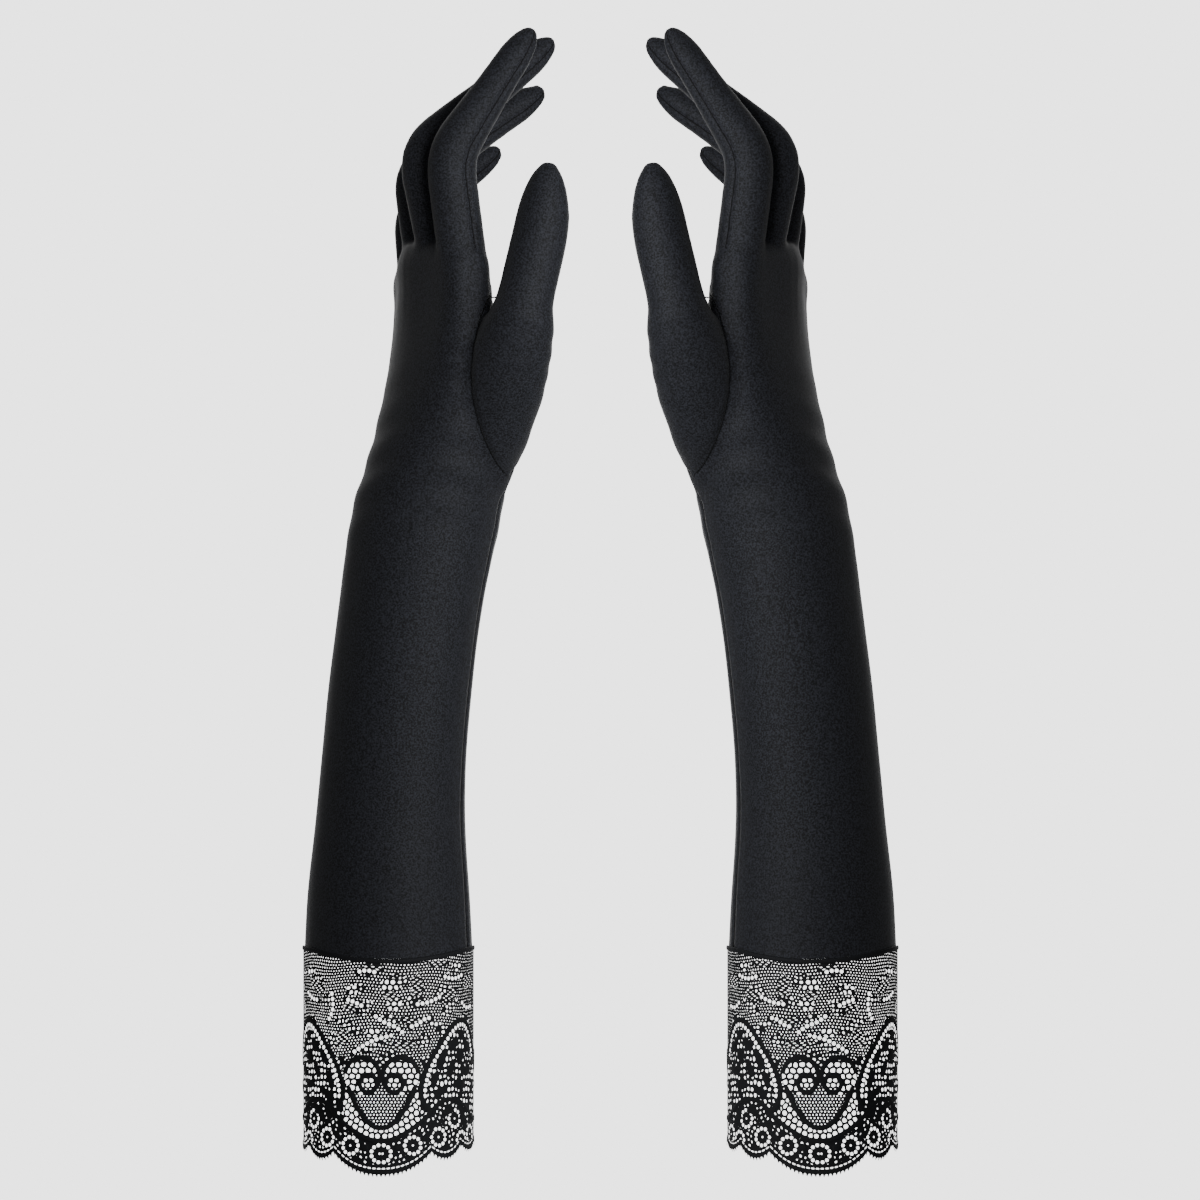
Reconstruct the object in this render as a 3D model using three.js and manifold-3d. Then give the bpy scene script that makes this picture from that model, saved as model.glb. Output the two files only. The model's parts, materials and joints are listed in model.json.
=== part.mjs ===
// Opera gloves: a mirrored pair of long satin gloves with scalloped lace cuffs, fingers up.
// Millimetres, +Z up. The glove nearer -X is the left-hand one; its palm faces +X, towards the other.
// Each glove is a back panel and a palm panel joined along the two side seams, a thumb gusset let
// into the radial side, a thumb stall, two-piece finger stalls, and a lace cuff on a seam band.
import * as THREE from "three";
import { mergeVertices } from "three/addons/utils/BufferGeometryUtils.js";
import Module from "manifold-3d";

const wasm = await Module();
wasm.setup();

// ---- driving sizes ----
const WALL = 0.9; // fabric, as a solid
const SEAM_GAP = 0.3; // clear width of every seam between two pieces
const HAND_BREADTH = 78.8; // across the knuckles
const HAND_DEPTH = 24.2; // back to palm at the knuckles
const HAND_TURN = THREE.MathUtils.degToRad(18); // palm faces +X, turned this far towards +Y
const HAND_LENGTH = 90; // wrist to middle knuckle
const WRIST_Z = 278; // wrist above the tips of the lace
const WRIST_RADIUS = 29.6;
const FOREARM_RADIUS = 28.7; // slimmest, halfway down the forearm
const CUFF_RADIUS = 34.6; // lace cuff
const CUFF_HEIGHT = 84.8; // lace at the middle of the front
const CUFF_SMILE = 5.6; // how far the cuff seam rises at the sides
const SEAM_BAND = 1.4; // height of the joining band
const MID_TO_CUFF = 84.8; // middle plane of the pair to each cuff's axis
const MID_TO_HAND = 63; // middle plane of the pair to each hand's axis

// ---- sizes that follow ----
const PITCH = HAND_BREADTH / 4.147; // finger to finger
const KNUCKLE_Z = WRIST_Z + HAND_LENGTH;
const ARCH = PITCH * 0.2; // the middle knuckles sit this far behind the outer ones
const HAND_BACK = -4.6; // middle of the knuckle row, behind the hand's axis
const RIM_DROP = 3; // hand's edge below the knuckle line
const BALL_DEPTH = 6.5; // finger stall's rounded foot below its knuckle
const BAND_Z = CUFF_HEIGHT + SEAM_GAP;
const SLEEVE_Z = BAND_Z + SEAM_BAND + SEAM_GAP;
const LACE_TURN = THREE.MathUtils.degToRad(-8); // middle of the main scallop, from the front towards +X

const SATIN = { color: 0x1d1e23, roughness: 0.62, metalness: 0.0 };
const SATIN_PALM = { color: 0x212228, roughness: 0.6, metalness: 0.0 };
const LACE = { color: 0x17181b, roughness: 0.9, metalness: 0.0 };

const rad = THREE.MathUtils.degToRad;
const lerp = THREE.MathUtils.lerp;
const ease = (x, from, to) => THREE.MathUtils.smoothstep(x, from, to);

// ---- from rings of points to solids ----

// A closed skin over a stack of rings; each end is closed by a fan about its middle.
function skin(rings) {
  const n = rings[0].length;
  const last = rings.length - 1;
  const points = rings.flat();
  const faces = [];
  for (let i = 0; i < last; i++) {
    for (let k = 0; k < n; k++) {
      const a = i * n + k;
      const b = i * n + ((k + 1) % n);
      faces.push(a, b, b + n, a, b + n, a + n);
    }
  }
  for (const [row, up] of [[0, false], [last, true]]) {
    const middle = new THREE.Vector3();
    rings[row].forEach((p) => middle.addScaledVector(p, 1 / n));
    const hub = points.push(middle) - 1;
    for (let k = 0; k < n; k++) {
      const a = row * n + k;
      const b = row * n + ((k + 1) % n);
      faces.push(...(up ? [a, b, hub] : [b, a, hub]));
    }
  }
  const geometry = new THREE.BufferGeometry().setFromPoints(points);
  geometry.setIndex(faces);
  return solid(geometry);
}

// A ring-shaped solid: outer and inner walls between two edges, each a closed row of points.
function band(outerLow, outerHigh, innerLow, innerHigh) {
  const rows = [outerLow, outerHigh, innerHigh, innerLow];
  const n = outerLow.length;
  const faces = [];
  for (let i = 0; i < 4; i++) {
    for (let k = 0; k < n; k++) {
      const a = i * n + k;
      const b = i * n + ((k + 1) % n);
      const c = ((i + 1) % 4) * n + k;
      const d = ((i + 1) % 4) * n + ((k + 1) % n);
      faces.push(a, b, d, a, d, c);
    }
  }
  const geometry = new THREE.BufferGeometry().setFromPoints(rows.flat());
  geometry.setIndex(faces);
  return solid(geometry);
}

function solid(geometry) {
  geometry.deleteAttribute("normal");
  geometry.deleteAttribute("uv");
  const merged = mergeVertices(geometry, 1e-5);
  const mesh = new wasm.Mesh({
    numProp: 3,
    vertProperties: new Float32Array(merged.attributes.position.array),
    triVerts: new Uint32Array(merged.index.array),
  });
  return new wasm.Manifold(mesh);
}

function meshOf(name, manifold, look) {
  const got = manifold.getMesh();
  const geometry = new THREE.BufferGeometry();
  geometry.setAttribute("position", new THREE.BufferAttribute(got.vertProperties, 3));
  geometry.setIndex(new THREE.BufferAttribute(got.triVerts, 1));
  geometry.computeVertexNormals();
  const mesh = new THREE.Mesh(geometry, new THREE.MeshStandardMaterial(look));
  mesh.name = name;
  return mesh;
}

// A flat outline (two coordinates) drawn out into a prism, then laid into place by a matrix.
function prism(outline, depth, matrix) {
  const shape = new THREE.Shape(outline.map(([x, y]) => new THREE.Vector2(x, y)));
  const geometry = new THREE.ExtrudeGeometry(shape, { depth, bevelEnabled: false, curveSegments: 1 });
  geometry.translate(0, 0, -depth / 2);
  geometry.applyMatrix4(matrix);
  return solid(geometry);
}

// ---- the hand's own directions: u from back to palm, v from index finger to little finger ----
const ACROSS = new THREE.Vector3(Math.cos(HAND_TURN), Math.sin(HAND_TURN), 0);
const ALONG = new THREE.Vector3(-Math.sin(HAND_TURN), Math.cos(HAND_TURN), 0);

function handPoint(u, v, z) {
  return new THREE.Vector3(-MID_TO_HAND, 0, z).addScaledVector(ACROSS, u).addScaledVector(ALONG, v);
}

const PALM_CORNER = handPoint(HAND_DEPTH / 2, -HAND_BREADTH / 2, 0); // radial corner at the knuckles

// The knuckle row curves: its middle lies further back than its two ends.
function archAt(v) {
  const reach = Math.min(1, Math.abs(v) / (PITCH * 1.5));
  return HAND_BACK + ARCH * Math.sin((reach * Math.PI) / 2) ** 2;
}

// ---- sleeve: the tube from the cuff seam to the knuckles ----

// One level of the sleeve. x: middle; a: half depth; b: half breadth; n: 2 is an ellipse, more is
// squarer; arch: share of the knuckle row's curve; smile: share of the cuff seam's rise.
const WRIST_SHIFT = MID_TO_CUFF - MID_TO_HAND;
const ARM_LENGTH = WRIST_Z - SLEEVE_Z;
const BROADEN = HAND_BREADTH / 2 - WRIST_RADIUS; // wrist to knuckles, half
const HALF_BREADTH = HAND_BREADTH / 2;
const onArm = (share) => SLEEVE_Z + ARM_LENGTH * share;
const onHand = (share) => WRIST_Z + HAND_LENGTH * share;
const level = (z, x, a, b, n, arch, smile) => ({ z, x, a, b, n, arch, smile });
const SLEEVE_LEVELS = [
  level(SLEEVE_Z, -WRIST_SHIFT, CUFF_RADIUS - 0.4, CUFF_RADIUS - 0.8, 2, 0, 1),
  level(onArm(0.12), -WRIST_SHIFT, CUFF_RADIUS * 0.945, CUFF_RADIUS * 0.94, 2, 0, 0.3),
  level(onArm(0.33), -WRIST_SHIFT * 0.95, FOREARM_RADIUS * 1.03, FOREARM_RADIUS * 1.04, 2, 0, 0),
  level(onArm(0.54), -WRIST_SHIFT * 0.81, FOREARM_RADIUS, FOREARM_RADIUS * 1.04, 2, 0, 0),
  level(onArm(0.75), -WRIST_SHIFT * 0.58, FOREARM_RADIUS, FOREARM_RADIUS * 1.05, 2, 0, 0),
  level(onHand(-0.08), -WRIST_SHIFT * 0.25, WRIST_RADIUS, WRIST_RADIUS * 1.05, 2, 0, 0),
  level(onHand(0.1), -WRIST_SHIFT * 0.09, WRIST_RADIUS * 0.91, WRIST_RADIUS + BROADEN * 0.35, 2.1, 0.1, 0),
  level(onHand(0.27), 0, WRIST_RADIUS * 0.79, WRIST_RADIUS + BROADEN * 0.6, 2.2, 0.3, 0),
  level(onHand(0.47), 1, WRIST_RADIUS * 0.64, WRIST_RADIUS + BROADEN * 0.85, 2.5, 0.5, 0),
  level(onHand(0.68), 1, lerp(HAND_DEPTH / 2, WRIST_RADIUS, 0.16), HALF_BREADTH, 2.9, 0.75, 0),
  level(onHand(0.85), 0.5, HAND_DEPTH * 0.52, HALF_BREADTH, 3.3, 1, 0),
  level(KNUCKLE_Z + 2, 0, HAND_DEPTH / 2, HALF_BREADTH, 3.5, 1, 0),
];

function sleeveRing(level, count, inset, lift) {
  const ring = [];
  for (let k = 0; k < count; k++) {
    const t = (2 * Math.PI * k) / count;
    const power = 2 / level.n;
    const u = (level.a - inset) * Math.sign(Math.cos(t)) * Math.abs(Math.cos(t)) ** power;
    const v = (level.b - inset) * Math.sign(Math.sin(t)) * Math.abs(Math.sin(t)) ** power;
    const shifted = u + archAt(v) * level.arch + level.x * Math.cos(HAND_TURN);
    const p = handPoint(shifted, v - level.x * Math.sin(HAND_TURN), 0);
    const side = (p.x + MID_TO_CUFF) / CUFF_RADIUS;
    p.z = level.z + lift + level.smile * CUFF_SMILE * Math.min(1, side * side);
    ring.push(p);
  }
  return ring;
}

function sleeveBlock(count, inset, overrun) {
  const end = SLEEVE_LEVELS.length - 1;
  const rings = SLEEVE_LEVELS.map((level) => sleeveRing(level, count, inset, 0));
  if (overrun) {
    rings.unshift(sleeveRing(SLEEVE_LEVELS[0], count, inset, -overrun));
    rings.push(sleeveRing(SLEEVE_LEVELS[end], count, inset, overrun));
  }
  return skin(rings);
}

// Everything above the hand's edge, which follows the four knuckles.
function aboveRim() {
  const outline = FINGERS.map((f) => [f.v, f.z - RIM_DROP]);
  const first = outline[0];
  const last = outline[outline.length - 1];
  outline.unshift([first[0] - PITCH, first[1] - RIM_DROP]);
  outline.push([last[0] + PITCH, last[1] - RIM_DROP]);
  outline.push([PITCH * 4, KNUCKLE_Z + PITCH * 2], [-PITCH * 2.5, KNUCKLE_Z + PITCH * 2]);
  const lay = new THREE.Matrix4().makeBasis(ALONG, new THREE.Vector3(0, 0, 1), ACROSS);
  lay.setPosition(-MID_TO_HAND, 0, 0);
  return prism(outline, HAND_BREADTH, lay);
}

// ---- fingers and thumb ----

// v: place along the knuckle row; z: knuckle; slim: how much thinner than half the hand its root is;
// gap: clear width to half way to the next finger; length: knuckle to tip.
const FINGERS = [
  { name: "index", v: -1.5 * PITCH, z: KNUCKLE_Z - 2, slim: 2.1, gap: 0.35, length: 104.5 },
  { name: "middle", v: -0.5 * PITCH, z: KNUCKLE_Z, slim: 2.5, gap: 0.72, length: 113 },
  { name: "ring", v: 0.5 * PITCH, z: KNUCKLE_Z - 2, slim: 2.9, gap: 1.08, length: 98 },
  { name: "little", v: 1.5 * PITCH, z: KNUCKLE_Z - 8, slim: 3.5, gap: 1.63, length: 69 },
];
// lean and end: slope before and after a finger's bend, in degrees towards the palm; bend: where the
// bend starts and ends, as shares of its length.
const CURLS = {
  index: { lean: -8, end: 35, bend: [0.29, 0.52] },
  middle: { lean: -12, end: 51, bend: [0.26, 0.47] },
  ring: { lean: -8, end: 58, bend: [0.26, 0.44] },
  little: { lean: -5, end: 54, bend: [0.22, 0.48] },
};
const THUMB_V = -1.5 * PITCH - 21; // clear of the index finger's plane, so the two pass freely
const THUMB = {
  name: "thumb",
  v: THUMB_V,
  u: 18.3,
  z: WRIST_Z + HAND_LENGTH * 0.8,
  r: 11.3,
  flat: 1,
  length: 57,
  lean: 14,
  end: 7,
  bend: [0.3, 0.7],
};
for (const finger of FINGERS) {
  Object.assign(finger, CURLS[finger.name]);
  finger.u = archAt(finger.v);
  finger.r = HAND_DEPTH / 2 - finger.slim;
  finger.flat = (PITCH / 2 - finger.gap) / finger.r;
}

// Middle line of a digit as [u, z, slope], every step found from the slope before it.
function middleLine(digit, from, to, steps) {
  const line = [];
  const [start, stop] = digit.bend.map((share) => share * digit.length);
  const slopeAt = (s) => rad(lerp(digit.lean, digit.end, ease(s, start, stop)));
  const fine = 64;
  let u = digit.u;
  let z = digit.z;
  let walked = 0;
  for (let i = 0; i <= steps; i++) {
    const s = lerp(from, to, i / steps);
    const leg = (s - walked) / fine;
    for (let k = 0; k < fine; k++) {
      const slope = slopeAt(walked + (k + 0.5) * leg);
      u += leg * Math.sin(slope);
      z += leg * Math.cos(slope);
    }
    walked = s;
    line.push([u, z, slopeAt(s)]);
  }
  return line;
}

// Half thickness of a digit: a rounded foot, a gentle taper, then a round tip.
function thicknessAt(digit, s, inset) {
  const taper = 1 - (digit.name === "thumb" ? 0.08 : 0.3) * ease(s / digit.length, 0.35, 0.85);
  const foot = s < 0 ? Math.sqrt(Math.max(0, 1 - (s / (BALL_DEPTH * 1.4)) ** 2)) : 1;
  const r = digit.r * taper * foot - inset;
  const tipLength = digit.r * (digit.name === "thumb" ? 2.3 : 1.8) - inset * 0.3;
  const past = (s - (digit.length - inset - tipLength)) / tipLength;
  return past > 0 ? r * Math.max(0, 1 - past * past) ** 0.57 : r;
}

function digitRing(digit, u, z, slope, r, count) {
  const ring = [];
  for (let k = 0; k < count; k++) {
    const t = (2 * Math.PI * k) / count;
    const out = r * Math.cos(t);
    const v = digit.v + r * digit.flat * Math.sin(t);
    ring.push(handPoint(u + out * Math.cos(slope), v, z - out * Math.sin(slope)));
  }
  return ring;
}

function digitBlock(digit, inset, count) {
  const tip = digit.length - inset;
  const foot = inset ? -BALL_DEPTH - 3 : -BALL_DEPTH;
  const round = digit.r * 1.7;
  const levels = [foot, -BALL_DEPTH / 2, 0];
  const shaft = digit.name === "thumb" ? 2 : 5;
  for (let i = 1; i <= shaft; i++) {
    levels.push(((tip - round) * i) / shaft);
  }
  levels.push(tip - round * 0.5, tip - round * 0.18, tip - round * 0.03);
  const rings = levels.map((s) => {
    const [u, z, slope] = middleLine(digit, 0, s, 1)[1];
    return digitRing(digit, u, z, slope, thicknessAt(digit, Math.max(s, -BALL_DEPTH), inset), count);
  });
  return skin(rings);
}

function digitShell(digit) {
  return digitBlock(digit, 0, 10).subtract(digitBlock(digit, WALL, 8));
}

// The palm side of a digit: everything in front of a line that runs beside its middle line.
function palmSide(digit, shift) {
  const line = middleLine(digit, 0, digit.length + 20, 8);
  const [u0, z0, slope0] = [digit.u, digit.z, rad(digit.lean)];
  const below = BALL_DEPTH * 3;
  line.unshift([u0 - below * Math.sin(slope0), z0 - below * Math.cos(slope0), slope0]);
  const edge = line.map(([u, z, slope]) => [u + shift * Math.cos(slope), z - shift * Math.sin(slope)]);
  const deep = line.map(([u, z, slope]) => [u + 40 * Math.cos(slope), z - 40 * Math.sin(slope)]);
  const [lastU, lastZ] = deep[deep.length - 1];
  const outline = [...edge, [lastU, lastZ], [lastU + 60, edge[0][1] - 40], deep[0]];
  const lay = new THREE.Matrix4().makeBasis(ACROSS, new THREE.Vector3(0, 0, 1), ALONG.clone().negate());
  lay.setPosition(handPoint(0, digit.v, 0));
  return prism(outline, PITCH * 1.4, lay);
}

function addFinger(group, digit) {
  const shell = digitShell(digit);
  const seam = digit.r * 0.34; // the side seams lie this far in front of the middle
  const palm = shell.intersect(palmSide(digit, seam + SEAM_GAP / 2));
  const back = shell.subtract(palmSide(digit, seam - SEAM_GAP / 2));
  group.add(meshOf(`${digit.name}_back`, back, SATIN));
  group.add(meshOf(`${digit.name}_palm`, palm, SATIN_PALM));
}

// ---- thumb gusset: a tapering tube from inside the wrist to the thumb's root ----
const GUSSET_LEVELS = [0.03, 0.25, 0.48, 0.68, 0.8];

function gussetBlock(inset, count) {
  const rootR = THUMB.r + 1.6;
  const rings = GUSSET_LEVELS.map((share) => {
    const t = share / 0.8;
    const r = lerp(WRIST_RADIUS * 0.5, rootR, t ** 1.6) + 3.6 * Math.sin(Math.PI * t ** 1.2) - inset;
    const u = lerp(WRIST_RADIUS * 0.27, THUMB.u, t);
    const v = lerp(-WRIST_RADIUS * 0.3, THUMB.v, Math.min(1, t / 0.87) ** 0.9);
    const z = WRIST_Z + HAND_LENGTH * share;
    const tilt = rad(lerp(30, THUMB.lean, t));
    return gussetRing(u, v, z, r, tilt, count);
  });
  if (inset) {
    rings.push(gussetRing(THUMB.u + 1, THUMB.v, THUMB.z + 4, rootR - inset, rad(THUMB.lean), count));
  }
  return skin(rings);
}

function gussetRing(u, v, z, r, tilt, count) {
  const ring = [];
  for (let k = 0; k < count; k++) {
    const t = (2 * Math.PI * k) / count;
    const out = r * Math.cos(t);
    ring.push(handPoint(u + out * Math.cos(tilt), v + r * Math.sin(t), z - out * Math.sin(tilt)));
  }
  return ring;
}

// Everything above the gusset's edge, square to the thumb's lean.
function aboveThumbRim() {
  const slope = rad(THUMB.lean);
  const side = THUMB.r * 2.2;
  const [u, z] = [THUMB.u - RIM_DROP * Math.sin(slope), THUMB.z - RIM_DROP * Math.cos(slope)];
  const low = [
    [u - side * Math.cos(slope), z + side * Math.sin(slope)],
    [u + side * Math.cos(slope), z - side * Math.sin(slope)],
  ];
  const high = low.map(([a, b]) => [a + 40 * Math.sin(slope), b + 40 * Math.cos(slope)]).reverse();
  const lay = new THREE.Matrix4().makeBasis(ACROSS, new THREE.Vector3(0, 0, 1), ALONG.clone().negate());
  lay.setPosition(handPoint(0, THUMB.v, 0));
  return prism([...low, ...high], THUMB.r * 2.6, lay);
}

// The gusset's share of the hand: everything on the thumb's side of its curved seam. The seam runs
// from the fork beside the index finger down to the wrist; depth leans the cut across the palm.
function gussetSide(shift) {
  const thumbSide = handPoint(THUMB.u, THUMB.v, 0).x - THUMB.r;
  const forkX = Math.min(PALM_CORNER.x - 2.07, thumbSide + 0.2);
  const fork = { x: forkX, z: WRIST_Z + HAND_LENGTH * 0.862 };
  const foot = { x: -MID_TO_HAND * 0.606, z: WRIST_Z + HAND_LENGTH * 0.035 };
  const belly = MID_TO_HAND * 0.19;
  const outline = [];
  const steps = 9;
  for (let i = 0; i <= steps; i++) {
    const t = i / steps;
    const bow = Math.abs(Math.sin(Math.PI * t)) ** 0.75;
    outline.push([lerp(fork.x, foot.x, t) - belly * bow - shift, lerp(fork.z, foot.z, t)]);
  }
  outline.push([0, foot.z - 10], [0, KNUCKLE_Z + PITCH], [fork.x - shift, KNUCKLE_Z + PITCH]);
  const lean = new THREE.Vector3(0.15, 1, 0);
  const [right, up] = [new THREE.Vector3(1, 0, 0), new THREE.Vector3(0, 0, 1)];
  const lay = new THREE.Matrix4().makeBasis(right, up, lean.negate());
  lay.setPosition(0.15 * HAND_BREADTH * 0.45, 0, 0);
  return prism(outline, HAND_BREADTH * 2, lay);
}

// ---- side seams: the palm panel is a wedge of the sleeve between two directions ----

// Directions are angles from the front (-Y) towards +X; the wedge runs from radial to ulnar seam.
// At the hand the radial seam comes out beside the palm's corner, inside the gusset.
const CORNER_TURN = Math.atan2(PALM_CORNER.x + MID_TO_HAND - HAND_BACK, -PALM_CORNER.y) * (180 / Math.PI);
const RADIAL_SEAM = { arm: 72, hand: CORNER_TURN - 4 };
const ULNAR_SEAM = { arm: 206, hand: 191 };

const WEDGE_REACH = HAND_BREADTH * 1.15; // past the sleeve's widest side

function palmWedge(widen) {
  const rings = SLEEVE_LEVELS.map((level, i) => {
    const toHand = ease(level.z, WRIST_Z - HAND_LENGTH * 0.6, KNUCKLE_Z - PITCH);
    const open = (widen / WRIST_RADIUS) * (180 / Math.PI);
    const from = lerp(RADIAL_SEAM.arm, RADIAL_SEAM.hand, toHand) - open;
    const to = lerp(ULNAR_SEAM.arm, ULNAR_SEAM.hand, toHand) + open;
    const end = i === 0 ? -20 : i === SLEEVE_LEVELS.length - 1 ? 20 : 0;
    const hub = handPoint(0, 0, level.z + end);
    hub.x += level.x;
    hub.addScaledVector(ACROSS, HAND_BACK * level.arch);
    const ring = [hub];
    const steps = 3;
    for (let k = 0; k <= steps; k++) {
      const angle = rad(lerp(from, to, k / steps));
      const outward = new THREE.Vector3(Math.sin(angle), -Math.cos(angle), 0);
      ring.push(hub.clone().addScaledVector(outward, WEDGE_REACH));
    }
    return ring;
  });
  return skin(rings);
}

function addHand(group) {
  const outer = sleeveBlock(22, 0, 0).add(gussetBlock(0, 14));
  const inner = sleeveBlock(18, WALL, 3).add(gussetBlock(WALL, 11));
  const shell = outer.subtract(inner).subtract(aboveRim()).subtract(aboveThumbRim());
  const gusset = shell.intersect(gussetSide(-SEAM_GAP / 2));
  const tube = shell.subtract(gussetSide(SEAM_GAP / 2));
  group.add(meshOf("sleeve_back", tube.subtract(palmWedge(SEAM_GAP / 2)), SATIN));
  group.add(meshOf("sleeve_palm", tube.intersect(palmWedge(-SEAM_GAP / 2)), SATIN_PALM));
  group.add(meshOf("thumb_gusset", gusset, SATIN_PALM));
}

// ---- lace cuff and the band that joins it ----

function cuffRing(radius, zOf, count) {
  const ring = [];
  for (let k = 0; k < count; k++) {
    const t = (2 * Math.PI * k) / count;
    const x = radius * Math.sin(t);
    ring.push(new THREE.Vector3(x - MID_TO_CUFF, -(radius - 0.6) * Math.cos(t), zOf(t, x)));
  }
  return ring;
}

const smileAt = (x) => CUFF_SMILE * Math.min(1, (x / CUFF_RADIUS) ** 2);

// Lower edge: one deep scallop and four shallow ones in each half turn, rising towards the sides.
function scallopAt(t) {
  const half = Math.PI;
  const deep = rad(70);
  const notch = 8.5;
  const turn = ((((t - LACE_TURN + deep / 2) % half) + half) % half) - deep / 2;
  const rise = 6 * Math.sin(turn) ** 4;
  if (Math.abs(turn) <= deep / 2) {
    return notch * Math.abs(turn / (deep / 2)) ** 2.2 + rise;
  }
  const small = (half - deep) / 4;
  const across = (((turn - deep / 2) % small) / small) * 2 - 1;
  return notch - 4 * (1 - across * across) + rise;
}

function addCuff(group) {
  const top = (t, x) => CUFF_HEIGHT + smileAt(x);
  const lace = band(
    cuffRing(CUFF_RADIUS, scallopAt, 48),
    cuffRing(CUFF_RADIUS - 0.3, top, 48),
    cuffRing(CUFF_RADIUS - WALL, scallopAt, 48),
    cuffRing(CUFF_RADIUS - WALL - 0.3, top, 48),
  );
  group.add(meshOf("lace_cuff", lace, LACE));
  const low = (t, x) => BAND_Z + smileAt(x);
  const high = (t, x) => BAND_Z + SEAM_BAND + smileAt(x);
  const join = band(
    cuffRing(CUFF_RADIUS - 0.1, low, 24),
    cuffRing(CUFF_RADIUS - 0.1, high, 24),
    cuffRing(CUFF_RADIUS - WALL - 0.4, low, 24),
    cuffRing(CUFF_RADIUS - WALL - 0.4, high, 24),
  );
  group.add(meshOf("cuff_seam", join, SATIN));
}

// ---- the pair ----

function glove(side, mirror) {
  const group = new THREE.Group();
  addHand(group);
  group.add(meshOf("thumb_stall", digitShell(THUMB), SATIN));
  FINGERS.forEach((finger) => addFinger(group, finger));
  addCuff(group);
  group.children.forEach((mesh) => {
    mesh.name = `${side}_${mesh.name}`;
  });
  group.scale.x = mirror;
  return group;
}

const pair = new THREE.Group();
pair.add(glove("left", 1), glove("right", -1));
export default pair;
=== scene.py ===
"""Opera gloves: the looks of a mirrored pair of satin gloves with scalloped lace cuffs.

Everything is worked out in millimetres for the left-hand glove and turned into metres when a mesh
is made; the right-hand glove is its mirror image about x = 0.
"""

import json
import math

import bpy
import numpy as np
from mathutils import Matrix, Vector
from mathutils.bvhtree import BVHTree

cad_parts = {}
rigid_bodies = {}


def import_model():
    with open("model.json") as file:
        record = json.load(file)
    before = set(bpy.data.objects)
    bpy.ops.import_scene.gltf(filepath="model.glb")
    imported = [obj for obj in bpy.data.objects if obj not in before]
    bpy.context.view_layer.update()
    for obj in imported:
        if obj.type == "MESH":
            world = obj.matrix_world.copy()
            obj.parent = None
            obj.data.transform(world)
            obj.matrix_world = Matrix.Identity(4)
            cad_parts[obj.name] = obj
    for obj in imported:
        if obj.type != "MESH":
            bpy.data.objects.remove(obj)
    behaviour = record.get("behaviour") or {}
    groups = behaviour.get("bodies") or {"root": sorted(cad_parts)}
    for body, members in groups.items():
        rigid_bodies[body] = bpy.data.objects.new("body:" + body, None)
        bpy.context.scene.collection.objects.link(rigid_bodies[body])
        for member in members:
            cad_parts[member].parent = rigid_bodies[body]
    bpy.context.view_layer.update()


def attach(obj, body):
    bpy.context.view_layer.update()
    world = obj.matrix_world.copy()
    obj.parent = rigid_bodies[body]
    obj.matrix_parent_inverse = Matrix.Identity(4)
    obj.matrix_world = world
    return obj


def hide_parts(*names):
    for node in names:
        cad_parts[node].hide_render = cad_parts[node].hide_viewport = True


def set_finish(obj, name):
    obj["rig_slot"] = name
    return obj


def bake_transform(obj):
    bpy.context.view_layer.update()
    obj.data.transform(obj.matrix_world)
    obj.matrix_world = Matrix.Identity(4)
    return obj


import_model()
MM = 0.001

# ---- sizes, in millimetres, shared with the CAD ----
HAND_X = -63.0  # the hand's own axis
CUFF_X = -84.8  # the cuff's axis
HAND_TURN = math.radians(18)
ACROSS = np.array([math.cos(HAND_TURN), math.sin(HAND_TURN), 0.0])  # back to palm
ALONG = np.array([-math.sin(HAND_TURN), math.cos(HAND_TURN), 0.0])  # index to little finger
UP = np.array([0.0, 0.0, 1.0])
HAND_BREADTH = 78.8  # across the knuckles
HALF_HAND = HAND_BREADTH / 2
PITCH = HAND_BREADTH / 4.147  # finger to finger
HAND_DEPTH = 24.2
WRIST_Z = 278.0
HAND_LENGTH = 90.0
KNUCKLE_Z = WRIST_Z + HAND_LENGTH
WRIST_R = 29.6
ARM_R = 28.7
CUFF_R = 34.6
CUFF_HEIGHT = 84.8
CUFF_SMILE = 5.6
SLEEVE_Z = 86.8
LACE_TURN = math.radians(-5)  # middle of the lace motif, from the front towards +X
HAND_BACK = -4.6
ARCH = PITCH * 0.2
CLOTH = 0.55  # thickness of the satin
FINGER_FOOT = -18  # a finger's tube begins this far below its knuckle, inside the hand
THUMB_FOOT = -8
VOXEL = 1.25
LACE_STEP = 0.3


def ease(x, start, stop):
    """Smooth step: 0 below start, 1 above stop, 3t^2 - 2t^3 between."""
    t = np.clip((x - start) / (stop - start), 0, 1)
    return t * t * (3 - 2 * t)


def mix(a, b, t):
    return a + (b - a) * t


def hand_point(u, v, z):
    """Point u from back to palm, v along the knuckles and z up, on the hand's own axes."""
    u, v, z = (np.asarray(q, float)[..., None] for q in (u, v, z))
    return np.array([HAND_X, 0, 0]) + u * ACROSS + v * ALONG + z * UP


def arch_at(v):
    """How far the curved knuckle row stands in front of the hand's axis: a squared sine of v."""
    reach = np.minimum(1, np.abs(v) / (PITCH * 1.5))
    return HAND_BACK + ARCH * np.sin(reach * math.pi / 2) ** 2


# ---- meshes from arrays ----


def make_mesh(name, points, faces, scale=MM):
    mesh = bpy.data.meshes.new(name)
    mesh.from_pydata((points * scale).tolist(), [], [list(map(int, f)) for f in faces])
    mesh.polygons.foreach_set("use_smooth", np.ones(len(mesh.polygons), bool))
    mesh.update()
    return mesh


def make_object(name, mesh):
    obj = bpy.data.objects.new(name, mesh)
    bpy.context.scene.collection.objects.link(obj)
    return obj


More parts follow.
